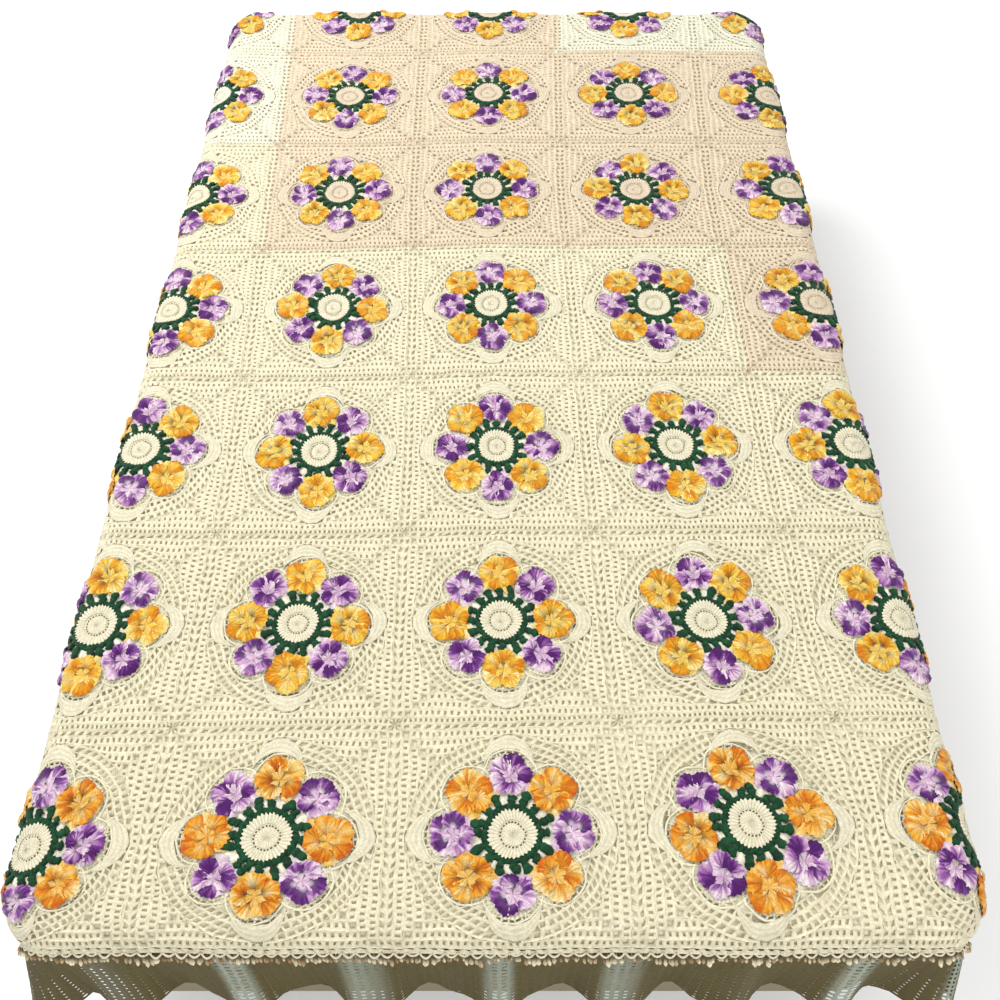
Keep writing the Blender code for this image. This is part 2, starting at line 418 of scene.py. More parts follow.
def addCells(
    mesh, corners, inner, place, colour, crest=ground["crest"], rim=ground["rim"], shaded=ground["shaded"]
):
    # each cell as a ring of slopes from the strands' crests down to the edge of its hole
    cells, count = corners.shape[:2]
    points = np.concatenate([place(corners), place(inner)], 1)
    height = np.concatenate([np.zeros((cells, count)) + crest, np.full((cells, count), rim)], 1)
    # the crests take the bright tone and the edges of the holes the shaded tone, which is painted shade in
    # the holes
    tone = np.repeat([ground["bright"], shaded], count)[None, :, None]
    colours = np.broadcast_to(toned(colour, tone), (cells, 2 * count, 3)).reshape(-1, 3)
    mesh.add(lay(points, height), gridFaces(2, count, True, cells), colours)


def roundCells():
    # rounds of cells that follow the wheel; their bars lean, mirrored about the square's axes, and
    # the cells beneath the scallops and the crescents are left out
    cells = []
    count = ground["roundCells"]
    base = (np.arange(count + 1) + 0.5) / count * 2 * math.pi
    lean = ground["roundLean"]
    for k in range(3):
        lower = base + lean * k * np.sin(4 * base) * 2 * math.pi / count
        upper = base + lean * (k + 1) * np.sin(4 * base) * 2 * math.pi / count
        inside, outside = ground["rounds"][k], ground["rounds"][k + 1]
        p, q = polar(inside, lower), polar(outside, upper)
        middle = (base[:-1] + base[1:]) / 2
        toQuarter = np.abs((middle + math.pi / 4) % (math.pi / 2) - math.pi / 4)
        toEighth = np.abs((middle + math.pi / 8) % (math.pi / 4) - math.pi / 8)
        keep = toQuarter > ground["clearOfCrescents"][k]
        if k == 0:
            keep = toEighth > ground["clearOfScallops"]
        cells.append(np.stack([q[:-1], q[1:], p[1:], p[:-1]], 1)[keep])
    return np.concatenate(cells)


def cornerRows():
    # rows of bars that run from each corner along the sides as far as the wheel's rounds, and the
    # larger opening of each row on the diagonal
    bars, mitre = [], []
    lines, outer = ground["rows"], ground["rounds"][-1]

    def floorAt(x, low, high):
        return np.clip(np.sqrt(np.maximum(outer * outer - x * x, 0)), low, high)

    for high, low in zip(lines[:-1], lines[1:]):
        count = round(low / ground["barPitch"])
        x = low * np.arange(count + 1) / count
        bottom, top = paired(x, floorAt(x, low, high)), paired(x, np.full(count + 1, high))
        keep = (high - bottom[1:, 1]) > ground["shortestBar"]
        bars.append(np.stack([bottom[:-1], bottom[1:], top[1:], top[:-1]], 1)[keep])
        mitre.append([[low, low], [high, low], [high, high], [low, high]])
    return np.concatenate(bars), np.array(mitre)


quarterTurns = [np.array([[c, s], [-s, c]]) for c, s in ((1, 0), (0, 1), (-1, 0), (0, -1))]


def mirrored(cells):
    # cells mirrored from left to right, with their corners kept counterclockwise
    return (cells * [-1, 1])[:, [1, 0, 3, 2]]


def fourWays(cells):
    # the same cells at each quarter turn of the square
    return np.concatenate([cells @ turn for turn in quarterTurns])


def sized(cells, opened):
    # cells with their holes scaled about the cells' middles
    middle = cells[0].mean(1, keepdims=True)
    return cells[0], middle + (cells[1] - middle) * opened


def makeGround():
    # every square's rounds of cells, its rows of bars in all eight half sides and its diagonal holes
    mesh = Mesh()
    bars, mitre = cornerRows()
    rounds = openCells(roundCells(), *ground["roundHoles"])
    bars = openCells(fourWays(np.concatenate([bars, mirrored(bars)])), *ground["barHoles"])
    mitre = openCells(fourWays(mitre), *ground["mitreHoles"])
    for row, column in allSquares:
        where = onSquare(row, column), dyeLot(row, column)
        opened = ground["openness"][row]
        addCells(mesh, *sized(rounds, opened), *where)
        addCells(mesh, *sized(bars, opened), *where, ground["barCrest"])
        addCells(mesh, *sized(mitre, opened), *where, **ground["mitre"])
    addSeams(mesh)
    return mesh


def addSeams(mesh):
    # a band of leaning arches along every side of a square, up to the joining line, which stands up
    # a little; beyond a cross seam the band is of close bars; and a star where four squares meet
    half = 0.5 - ground["rows"][0]
    straight = 1 - 2 * half
    crest = np.array(seam["crest"])
    for row, column in allSquares:
        place, colour = onSquare(row, column), dyeLot(row, column)
        for turn in (1, 0, 3, 2):
            close = turn == 2 and row > 0
            n = round(straight / seam["closePitch" if close else "archPitch"])
            k = np.arange(n + 1)
            t = straight * (k / n - 0.5)
            lean = 0
            if not close:
                lean = seam["archLean"] * straight / n * smooth(np.minimum(k, n - k) / 3)
            low, high = paired(t, 0.5 - half), paired(t + lean, 0.5)
            quads = np.stack([low[:-1], low[1:], high[1:], high[:-1]], 1)
            cells = openCells(quads, *seam["closeHoles" if close else "archHoles"])
            if turn in (1, 2):
                cells = [mirrored(part) for part in cells]
            outer, inner = (part @ quarterTurns[turn] for part in cells)
            addCells(mesh, outer, inner, place, colour, crest)
    for line in range(panel["rows"] + 1):
        for column in range(panel["columns"] + 1):
            left, right = (0 if column == 0 else -half), (0 if column == panel["columns"] else half)
            near, far = (0 if line == 0 else -half), (0 if line == panel["rows"] else half)
            if left < 0 < right and near < 0 < far:
                around = [[1, 0], [1, 1], [0, 1], [-1, 1], [-1, 0], [-1, -1], [0, -1], [1, -1]]
                rim = np.array(around) * half
                nextRim = np.roll(rim, -1, 0)
                star = np.stack([rim * seam["starHub"], rim, nextRim, nextRim * seam["starHub"]], 1)
                cells = openCells(star, *seam["starHoles"])
            else:
                box = np.array([[left, near], [right, near], [right, far], [left, far]])
                cells = openCells(box[None], *seam["endHoles"])
            place = onSquare(line - 0.5, column - 0.5)
            addCells(mesh, *cells, place, dyeLot(line, column), seam["starCrest"])


# ---- the wheel in each square: hub, backing, scallops and crescents, in cream

wheel = {
    "pansyAt": 0.250,
    "furrowShade": 0.68,
    "hubHoles": 22,
    "hub": {"radii": [0.0005, 0.022, 0.044], "heights": [0.0030, 0.0032, 0.0027], "ridge": 0.0008},
    # the edges of the hub's holes are painted darker by their tone, as painted shade
    "holes": {"radii": (0.044, 0.060), "shares": (0.54, 0.46), "heights": (0.0027, 0.0012), "tone": 0.80},
    "spokes": 72,
    "rim": {
        "radii": [0.060, 0.070, 0.082, 0.094, 0.0955],
        "heights": [0.0026, 0.0034, 0.0042, 0.0046, 0.0040],
        "ridge": 0.0013,
        "toothed": 0.009,
    },
    "backing": {
        "radii": [0.097, 0.14, 0.18, 0.24, 0.30, 0.345],
        "heights": [0.0004, 0.0014, 0.0008, -0.0004, -0.0006, -0.0012],
        "ridge": 0.0006,
        # tones out from the hub: lifted between the green spikes, where the yarn is white, also as painted
        # light against the shade of the spikes; lowered behind the pansies and scallops, as painted shade
        "tones": [1.1, 1.35, 1.3, 1, 0.92, 0.9],
    },
}

scallop = {
    "size": 0.114,
    "reach": math.radians(114),
    "dashes": 15,
    "fan": [0.62, 0.78, 0.88],
    "fanHeights": [0.0002, 0.0008, 0.0014],
    "fanRidge": 0.0009,
    "dashRing": (0.88, 1.02),
    # the edges of the dashes are painted much darker by their tone, as painted shade
    "dash": {"shares": (0.60, 0.50), "heights": (0.0017, -0.0008), "tone": 0.5},
    "chain": [1.02, 1.05, 1.085],
    "chainHeights": [0.0017, 0.0021, 0.0000],
}

crescent = {
    "width": 0.066,
    "reach": math.radians(21),
    "start": 1.06,
    "rounds": 7,
    "steps": 21,
    "height": 0.0020,
    "fall": 0.0010,
    "ridge": 0.0006,
    "blunt": 0.02,
    "pointSink": 0.4,
    # tones of the lower and of the raised rounds; the lower ones are darker as painted shade in the furrows
    "tones": (0.72, 0.90),
}


def ribbed(
    mesh, place, centre, angles, colour, radii, heights, ridge, closed=False, tones=(1,), toothed=0
):
    # a fan or ring of the given radii and heights; every other spoke is raised by the ridge and runs
    # out to a tooth at the rim, and the spokes between are furrows, painted darker as painted shade
    r, a = np.meshgrid(np.array(radii), angles, indexing="ij")
    odd = (np.arange(len(angles)) % 2)[None]
    high = np.array(heights)[:, None] + ridge * odd + 0 * a
    r[-1] += toothed * odd[0]
    # painted shade: the furrow spokes are darker than the raised ones
    tone = (wheel["furrowShade"] + (1.0 - wheel["furrowShade"]) * odd + 0 * a)[..., None]
    tone = tone * np.array(tones)[:, None, None]
    colours = toned(colour, tone).reshape(-1, 3)
    faces = gridFaces(len(radii), len(angles), closed)[:, ::-1]
    mesh.add(lay(place(centre + polar(r, a)), high), faces, colours)


def addHoles(mesh, place, centre, angles, colour, radii, shares, heights, tone):
    # a ring or an arc of holes in the cells between an inner and an outer radius; the tone paints the edges
    # of the holes darker, as painted shade
    inside, outside = (centre + polar(radius, angles) for radius in radii)
    quads = np.stack([outside[:-1], outside[1:], inside[1:], inside[:-1]], 1)
    addCells(mesh, *openCells(quads, *shares), place, colour, *heights, tone)


def wheelTurn(row, column):
    # how far a wheel is turned: as listed, or a little by a sine of its place
    return math.radians(wheelTurns.get((row, column), 2.5 * math.sin(3.1 * row + 1.7 * column)))


def makeWheels():
    # cream work in the middle of each square: a ribbed hub with a ring of holes, the backing, which
    # is in shade behind the pansies and painted darker there as painted shade, then scallops and crescents
    mesh = Mesh()
    holes = wheel["hubHoles"]
    spokes = np.arange(2 * holes) / holes * math.pi
    bars = np.arange(holes + 1) / holes * 2 * math.pi
    wide = np.arange(wheel["spokes"]) / (wheel["spokes"] // 2) * math.pi
    for row, column in allSquares:
        place, colour = onSquare(row, column, wheelTurn(row, column)), dyeLot(row, column)
        ribbed(mesh, place, 0, spokes, colour, **wheel["hub"], closed=True)
        addHoles(mesh, place, 0, bars, colour, **wheel["holes"])
        for part in ("rim", "backing"):
            ribbed(mesh, place, 0, wide, colour, **wheel[part], closed=True)
        addScallops(mesh, place, colour)
        addCrescents(mesh, onSquare(row, column), colour)
    return mesh


def addScallops(mesh, place, colour):
    # a fan of solid stitches behind each pansy, a row of dash-shaped holes with painted shade at their
    # edges, and a chain outside them
    reach, size, dashes = scallop["reach"], scallop["size"], scallop["dashes"]
    for k in range(8):
        out = k * math.pi / 4
        centre = polar(wheel["pansyAt"], out)
        a = out + np.linspace(-reach, reach, dashes + 1)
        fan = np.linspace(-reach, reach, 3 * dashes + 1) + out
        radii = size * np.array(scallop["fan"])
        ribbed(mesh, place, centre, fan, colour, radii, scallop["fanHeights"], scallop["fanRidge"])
        addHoles(mesh, place, centre, a, colour, size * np.array(scallop["dashRing"]), **scallop["dash"])
        r, b = np.meshgrid(size * np.array(scallop["chain"]), a, indexing="ij")
        high = np.array(scallop["chainHeights"])[:, None] + 0 * b
        mesh.add(lay(place(centre + polar(r, b)), high), gridFaces(3, dashes + 1)[:, ::-1], colour)


def addCrescents(mesh, place, colour):
    # a close-worked crescent at the middle of each side: it starts along the rim of the scallop, and
    # its rounds swell outwards, widest in the middle and drawn in to the points
    rounds, steps = crescent["rounds"], crescent["steps"]
    t = np.linspace(-1, 1, steps)
    v = np.linspace(0, 1, rounds)[:, None]
    raised = (np.arange(rounds) % 2)[:, None]
    at, start = wheel["pansyAt"], scallop["size"] * crescent["start"]
    faces = gridFaces(rounds, steps)[:, ::-1]
    for k in range(4):
        angle = t * crescent["reach"]
        inner = at * np.cos(angle) + np.sqrt(start**2 - (at * np.sin(angle)) ** 2)
        r = inner[None] + v * crescent["width"] * np.maximum(1 - t * t, crescent["blunt"]) ** 0.9
        high = crescent["height"] - crescent["fall"] * v**5 + crescent["ridge"] * raised
        points = polar(r, np.broadcast_to(angle + k * math.pi / 2, r.shape))
        # the rounds between the raised ones are painted darker: painted shade in the furrows
        tones = np.array(crescent["tones"])[raised][..., None]
        colours = np.broadcast_to(toned(colour, tones), (rounds, steps, 3)).reshape(-1, 3)
        mesh.add(lay(place(points), high * (1 - crescent["pointSink"] * t**4)), faces, colours)


# ---- the bottle-green ring and its bobbled spikes

green = {
    "ring": (0.0940, 0.129),
    "ringBevel": 0.005,
    "ringHeights": [0.0, 0.0030, 0.0044, 0.0032, 0.0],
    "ringKnob": 0.0012,
    "ringSteps": 64,
    "ringWave": 0.012,
    "spikes": 16,
    "root": 0.116,
    "long": 0.184,
    "short": 0.163,
    "bend": 0.10,
    "wander": 0.03,
    "width": 0.0212,
    "swell": [0.62, 0.60, 0.80, 0.92, 0.78, 0.98, 1.08, 0.86, 0.25],
    "flatness": 0.62,
    "lift": 0.0024,
    "arch": 0.0014,
    "colour": linear(20, 86, 48),
    # a deep green, for deeper dye and for painted shade in the valleys and under the spikes
    "deepDyeAndShade": linear(5, 42, 22),
}


def greens(mix):
    # the green yarn between its bright dye and a deep green, which serves both for deeper dye and for
    # painted shade
    mix = np.clip(mix, 0, 1)[..., None]
    return (green["colour"] * mix + green["deepDyeAndShade"] * (1 - mix)).reshape(-1, 3)


def makeGreen():
    # the ring is a low ridge; each spike is a tube along a bent radius whose width swells to two
    # bobbles and closes at the tip, alternately long, between the pansies, and short, behind them
    mesh = Mesh()
    rng = np.random.default_rng(4)
    sections, sides, spikes = len(green["swell"]), 6, green["spikes"]
    v = np.linspace(0, 1, sections)
    swell = np.array(green["swell"])
    ringAngle = np.arange(green["ringSteps"]) / green["ringSteps"] * 2 * math.pi
    ringOdd = (np.arange(green["ringSteps"]) % 2)[None]
    inner, outer = green["ring"]
    bevel = green["ringBevel"]
    sideAngle = np.arange(sides) / sides * 2 * math.pi
    length = np.where(np.arange(spikes) % 2 == 0, green["short"], green["long"])
    for row, column in allSquares:
        place = onSquare(row, column, wheelTurn(row, column))
        radii = np.array([inner, inner + bevel, (inner + outer) / 2, outer - bevel, outer])
        r, a = np.meshgrid(radii, ringAngle, indexing="ij")
        r = r * (1 + green["ringWave"] * np.sin(16 * a + 1) * (r > inner + 0.001))
        high = np.array(green["ringHeights"])[:, None] + green["ringKnob"] * ringOdd
        # random tone, with the raised knobs lighter and the valleys between them darker: painted light and
        # shade
        colours = greens(rng.uniform(-0.2, 1, r.shape) + 0.3 * ringOdd)
        faces = gridFaces(len(radii), green["ringSteps"], True)[:, ::-1]
        mesh.add(lay(place(polar(r, a)), high), faces, colours)
        angle = np.arange(spikes) / spikes * 2 * math.pi + rng.normal(0, green["wander"], spikes)
        far = length * rng.normal(1, green["wander"], spikes)
        radius = green["root"] + (far[:, None] - green["root"]) * v[None]
        bend = rng.normal(0, green["bend"], spikes)[:, None] * v[None] ** 2
        path = polar(radius, angle[:, None] + bend)
        step = unit(np.gradient(path, axis=1))
        across = np.stack([-step[..., 1], step[..., 0]], -1)
        wide = green["width"] * swell[None] * rng.uniform(0.85, 1.12, (spikes, sections))
        sideways = (wide[..., None] * np.cos(sideAngle))[..., None]
        up = wide[..., None] * np.sin(sideAngle) * panel["squareWidth"] * green["flatness"]
        high = green["lift"] + up + green["arch"] * np.sin(math.pi * v)[None, :, None]
        # random tone, with the upper side of each spike lighter and its underside darker: painted light and
        # shade
        colours = greens(rng.uniform(-0.4, 0.8, (spikes, sections, 1)) + 0.5 * np.sin(sideAngle))
        first = mesh.count
        points = place(path[:, :, None] + across[:, :, None] * sideways)
        mesh.add(lay(points, high), gridFaces(sections, sides, True, spikes), colours)
        tips = first + (np.arange(spikes) * sections * sides + (sections - 1) * sides)[:, None]
        mesh.faces.append(np.concatenate([tips + [0, 1, 2, 3], tips + [0, 3, 4, 5]]))
    return mesh


# ---- the pansies, in variegated yarn

# yarn from its palest dye to its deepest; rimDeeper is the chance that a petal deepens to its rim
pansy = {
    "gold": {
        "seed": 21,
        "size": 0.113,
        "yarn": [linear(255, 242, 176), linear(254, 220, 94), linear(250, 188, 30), linear(224, 136, 10)],
        "eyes": [linear(96, 50, 14), linear(190, 108, 20)],
        "eyeShares": (0.9, 0.26),
        "stripes": 0.60,
        "depth": 0.45,
        "rimDeeper": 0.65,
        "palestTone": 0.20,
    },
    "violet": {
        "seed": 22,
        "size": 0.102,
        "yarn": [linear(250, 234, 236), linear(214, 158, 208), linear(126, 56, 150), linear(82, 20, 102)],
        "eyes": [linear(250, 236, 244), linear(84, 26, 112)],
        "eyeShares": (0.9, 0.06),
        "stripes": 0.80,
        "depth": 0.55,
        "rimDeeper": 0.25,
        "palestTone": 0.06,
    },
    "orange": [linear(255, 234, 178), linear(252, 196, 76), linear(240, 152, 24), linear(212, 98, 6)],
    # petal: direction from outwards and half spread, in degrees; length; layer; stitches; palest
    "petals": [
        (140, 36, 1.12, -1, 6, True), (-140, 36, 1.12, -1, 6, True), (70, 36, 0.98, -1, 6, True),
        (-70, 36, 0.98, -1, 6, True), (0, 36, 0.90, -1, 6, True), (35, 98, 1.00, 1, 20, False),
        (-37, 98, 1.02, 0.4, 20, False), (106, 98, 0.96, 2, 20, False), (-108, 98, 0.94, 2.6, 20, False),
        (179, 92, 0.90, 3.4, 20, False),
    ],
    "rings": [0.0, 0.34, 0.72, 1.0],
    "root": 0.28,
    "round": 0.40,
    "tooth": 0.10,
    "twist": 0.30,
    "wander": 0.12,
    "lengths": (0.93, 1.05),
    "height": 0.0020,
    "layer": 0.0008,
    "dome": 0.0040,
    "ruffle": 0.0017,
    "ridge": 0.0009,
    # how much darker the furrows are painted, as painted shade
    "furrowShade": 0.24,
}


def shades(tone, ramp):
    # the yarn's colour at a tone from 0, its palest dye, to 1, its deepest
    ramp = np.array(ramp)
    at = np.clip(tone, 0, 1) * (len(ramp) - 1)
    low = np.minimum(at.astype(int), len(ramp) - 2)
    part = (at - low)[..., None]
    return ramp[low] * (1 - part) + ramp[low + 1] * part


def makePansies(kind):
    # each petal is a shell of ridged stitches that fan out from a root near the pansy's eye: the
    # radius falls off to both sides and is toothed at the rim, the shell is domed, and the dye changes
    # along the yarn, so that a petal goes from pale to deep; palest petals lie beneath, in the gaps
    mesh = Mesh()
    gold, look = kind == "gold", pansy[kind]
    rng = np.random.default_rng(look["seed"])
    v = np.array(pansy["rings"])[:, None]
    rings, size = len(v), look["size"]
    for row, column in allSquares:
        place = onSquare(row, column, wheelTurn(row, column))
        first = 0 if (squareRows[row]["toSides"][column] == "Y") == gold else 1
        ramp = look["yarn"]
        if gold:
            hot = squareRows[row]["orange"]
            ramp = [g * (1 - hot) + o * hot for g, o in zip(ramp, pansy["orange"])]
        for k in range(first, 8, 2):
            out = k * math.pi / 4
            twist = rng.normal(0, pansy["twist"])
            middle = polar(wheel["pansyAt"] - 0.002, out)
            run = rng.uniform(0, 1)
            eye = look["eyes"][rng.integers(2)]
            for direction, half, length, layer, n, palest in pansy["petals"]:
                u = np.linspace(-1, 1, n + 1)[None]
                tooth = np.arange(n + 1)[None] % 2
                lean = out + math.radians(direction) + rng.normal(0, pansy["wander"])
                lean += 0 if palest else twist
                root = 0 if palest else pansy["root"]
                long = size * (length * rng.uniform(*pansy["lengths"]) - root)
                reach = long * v * (1 - pansy["round"] * u * u - pansy["tooth"] * tooth * (v > 0.9))
                angle = lean + u * math.radians(half)
                points = middle + polar(root * size, lean) + polar(reach, angle)
                lift = pansy["dome"] * np.sin(math.pi * np.clip(v * 0.9, 0, 1)) * (1 - 0.95 * u * u)
                ruffle = pansy["ruffle"] * np.sin(6 * u + rng.uniform(0, 6)) * v
                high = pansy["height"] + pansy["layer"] * layer + lift + ruffle
                high = high + pansy["ridge"] * tooth * (v > 0.3)
                run = (run + rng.uniform(0.2, 0.6)) % 1
                stitch = rng.normal(0, 0.13, (1, n + 1)) + rng.normal(0, 0.15, (rings, n + 1))
                wave = 0.5 + look["stripes"] * np.sin(2 * math.pi * (run + 0.30 * u))
                deeper = rng.choice([-1, 1], p=[1 - look["rimDeeper"], look["rimDeeper"]])
                tone = look["depth"] * (0.5 + wave) + 0.12 + stitch + deeper * 0.62 * (v - 0.55)
                shares = np.zeros((rings, 1, 1))
                shares[:2, 0, 0] = look["eyeShares"]
                if palest:
                    tone = look["palestTone"] + 0.6 * stitch + 0.15 * (1 - v)
                    shares = shares * 0.25
                # the stitches between the raised ridges are painted darker: painted shade in the furrows
                furrowShadeMask = (tooth == 0) * (v > 0.3)
                colours = shades(tone, ramp) * (1 - pansy["furrowShade"] * furrowShadeMask)[..., None]
                colours = colours * (1 - shares) + eye * shares
                faces = gridFaces(rings, n + 1)[:, ::-1]
                mesh.add(lay(place(points), high), faces, colours.reshape(-1, 3))
    return mesh


# ---- the edging: net flounce and picot frill

flounce = {
    "flatWidth": 8.4,
    "drop": 0.235,
    "fold": 0.042,
    "foldLength": 0.155,
    "cornerCalm": 0.6,
    "flare": 0.070,
    "archDepth": 0.020,
    "archLength": 0.085,
    "cell": 0.0125,
    "closeHole": 0.16,
    "openHole": 0.60,
    "hemHole": 0.30,
    "crest": 0.0008,
    "rim": -0.0004,
    # the net's olive-tan is painted shade, and the pale colour on the crests of some folds is painted
    # highlight
    "shade": linear(88, 78, 40),
    "pale": linear(158, 166, 150),
}

frill = {
    "length": 0.0155,
    "slant": math.radians(40),
    "pitch": 0.0047,
    "width": 0.0018,
    "widths": [0.8, 0.8, 0.75, 1.0, 1.40, 0.5],
    "tipShares": [0, 0, 0.10, 0.6, 1.0, 1.0],
    "start": 0.0020,
    # the knob's own cream; a darker knob colour, painted shade; and the posts painted dark brown, as painted
    # shadow
    "knob": linear(250, 238, 200),
    "shadedKnob": linear(170, 134, 86),
    "shadowedPost": linear(74, 56, 32),
}

hemLoops = {
    "pitch": 0.0155,
    "width": 0.0015,
    "sections": 7,
    "out": 0.0012,
    "bow": 0.0046,
    "rise": 0.0012,
    "sag": 0.0026,
    "tone": 0.90,
}


def hemLoop(count=2400):
    # the panel's lower edge, evenly spaced: its point and the level direction away from the bed. A
    # quarter fan from each core corner cuts the flat hem, and straight runs join the fans.
    side, near, far = halfWide - coreX, -clothNear - coreY, clothFar - coreY
    flat = []
    quarters = [(1, -1, -90), (1, 1, 0), (-1, 1, 90), (-1, -1, 180)]
    for i, (sx, sy, begin) in enumerate(quarters):
        angle = np.radians(begin + np.linspace(0, 90, 120))
        end = far if sy > 0 else near
        c, s = np.cos(angle), np.sin(angle)
        reach = np.minimum(side / np.maximum(np.abs(c), 1e-9), end / np.maximum(np.abs(s), 1e-9))
        core = np.array([sx * coreX, sy * coreY])
        flat.append(core + reach[:, None] * np.stack([c, s], -1))
        nx, ny, _ = quarters[(i + 1) % 4]
        t = np.linspace(0, 1, 400)[1:-1, None]
        lastOut = flat[-1][-1] - core
        flat.append(core * (1 - t) + np.array([nx * coreX, ny * coreY]) * t + lastOut)
    flat = np.concatenate(flat)
    points = drape(flat[:, 0], flat[:, 1])
    gone = np.concatenate([[0], np.linalg.norm(np.diff(points, axis=0), axis=1).cumsum()])
    total = gone[-1] + np.linalg.norm(points[0] - points[-1])
    even = np.arange(count) / count * total
    points = np.stack([np.interp(even, gone, points[:, i], period=total) for i in range(3)], -1)
    along = np.roll(points, -3, 0) - np.roll(points, 3, 0)
    return points, unit(paired(along[:, 1], -along[:, 0])), total


hemPoints, hemOutward, hemLength = hemLoop()


def atHem(s):
    # the hem's point and outward direction at a share s of the way round
    at = np.asarray(s) % 1 * len(hemPoints)
    low = at.astype(int) % len(hemPoints)
    part = (at - np.floor(at))[..., None]
    high = (low + 1) % len(hemPoints)
    point = hemPoints[low] * (1 - part) + hemPoints[high] * part
    outward = hemOutward[low] * (1 - part) + hemOutward[high] * part
    return point, unit(outward)


folds = round(hemLength / flounce["foldLength"])
arches = round(hemLength / flounce["archLength"])


def flouncePoint(s, share):
    # the flounce falls from the hem in folds that open downwards, and flares at the near corners; its
    # lower edge rises in arches
    point, outward = atHem(s)
    arch = flounce["archDepth"] * np.abs(np.sin(math.pi * arches * s))
    ox, oy = outward[..., 0], outward[..., 1]
    corner = (2 * ox * oy) ** 2
    bulge = flounce["fold"] * share**1.4 * foldWave(s) * (1 - flounce["cornerCalm"] * corner)
    bulge = bulge + flounce["flare"] * corner * smooth(-3 * oy) * share**0.8
    x = point[..., 0] + ox * bulge
    y = point[..., 1] + oy * bulge
    z = point[..., 2] - 0.002 - share * (flounce["drop"] - 0.004) + share**4 * arch
    return np.stack([x, y, z], -1)


def foldWave(s):
    # folds of uneven width round the hem, and finer folds between them
    turns = folds * s
    wave = 0.5 - 0.5 * np.cos(2 * math.pi * turns + 0.9 * np.sin(2 * math.pi * turns * 5 / folds))
    return 0.85 * wave + 0.15 * (0.5 + 0.5 * np.sin(2 * math.pi * round(folds * 2.31) * s + 1))


def openAndHighlitNet(s):
    # how far the net is open and painted pale, as a painted highlight: along the crests of some of the folds
    # only
    some = 0.55 + 0.45 * np.sin(2 * math.pi * round(0.41 * folds) * s + 2.2)
    return smooth((foldWave(s) - 0.70) / 0.26) * smooth(1.9 * some - 0.1)


def makeFlounce():
    # a net of cells, each round its hole, with every other line of corners set over by a quarter
    # cell; it is open and painted pale, as a painted highlight, where some folds stand out, and close and
    # olive-tan, as painted shade, elsewhere
    mesh = Mesh()
    around = round(hemLength / flounce["cell"])
    down = round(flounce["drop"] / flounce["cell"])
    i, j = np.meshgrid(np.arange(around), np.arange(down), indexing="ij")

    def corner(di, dj):
        rowAt = j + dj
        return np.stack([(i + di + 0.25 * (rowAt % 2)) / around, rowAt / down], -1)

    cells = np.stack([corner(0, 1), corner(1, 1), corner(1, 0), corner(0, 0)], 2).reshape(-1, 4, 2)
    middle = cells.mean(1, keepdims=True)
    closeHole, openHole = flounce["closeHole"], flounce["openHole"]
    opened = closeHole + (openHole - closeHole) * openAndHighlitNet(middle[..., :1])
    lowest = cells[:, :, 1].max(1)[:, None, None] > 0.97
    opened = np.where(lowest, flounce["hemHole"], opened)
    both = np.concatenate([cells, middle + (cells - middle) * opened], 1)
    s, share = both[..., 0], both[..., 1]
    points = flouncePoint(s, share)
    ahead = flouncePoint(s + 0.0005, share) - flouncePoint(s - 0.0005, share)
    outward = unit(paired(ahead[..., 1], -ahead[..., 0]))
    lift = np.repeat([flounce["crest"], flounce["rim"]], 4)[None, :, None]
    points[..., :2] += outward * lift
    # painted highlight on the crests of some folds, over the net's painted shade
    light = openAndHighlitNet(s)[..., None]
    colours = flounce["shade"] * (1 - light) + flounce["pale"] * light
    mesh.add(points, gridFaces(2, 4, True, len(cells)), colours.reshape(-1, 3))
    return mesh


def addTubes(mesh, path, wide, sides, colours):
    # round tubes with closed ends along paths of three-dimensional points, with a width at each point
    tubes, sections = path.shape[:2]
    step = unit(np.gradient(path, axis=1))
    level = unit(np.cross(step, [0, 0, 1.0]))
    normal = np.cross(step, level)
    angle = np.arange(sides) / sides * 2 * math.pi
    ring = level[:, :, None] * np.cos(angle)[:, None] + normal[:, :, None] * np.sin(angle)[:, None]
    points = path[:, :, None] + ring * wide[:, :, None, None]
    first = mesh.count
    colours = np.broadcast_to(colours[:, :, None], (tubes, sections, sides, 3)).reshape(-1, 3)
    mesh.add(points, gridFaces(sections, sides, True, tubes), colours)
    starts = first + (np.arange(tubes) * sections * sides)[:, None]
    ends = starts + (sections - 1) * sides
    for k in range(1, sides - 1):
        mesh.faces.append(starts + [0, k + 1, k])
        mesh.faces.append(ends + [0, k, k + 1])


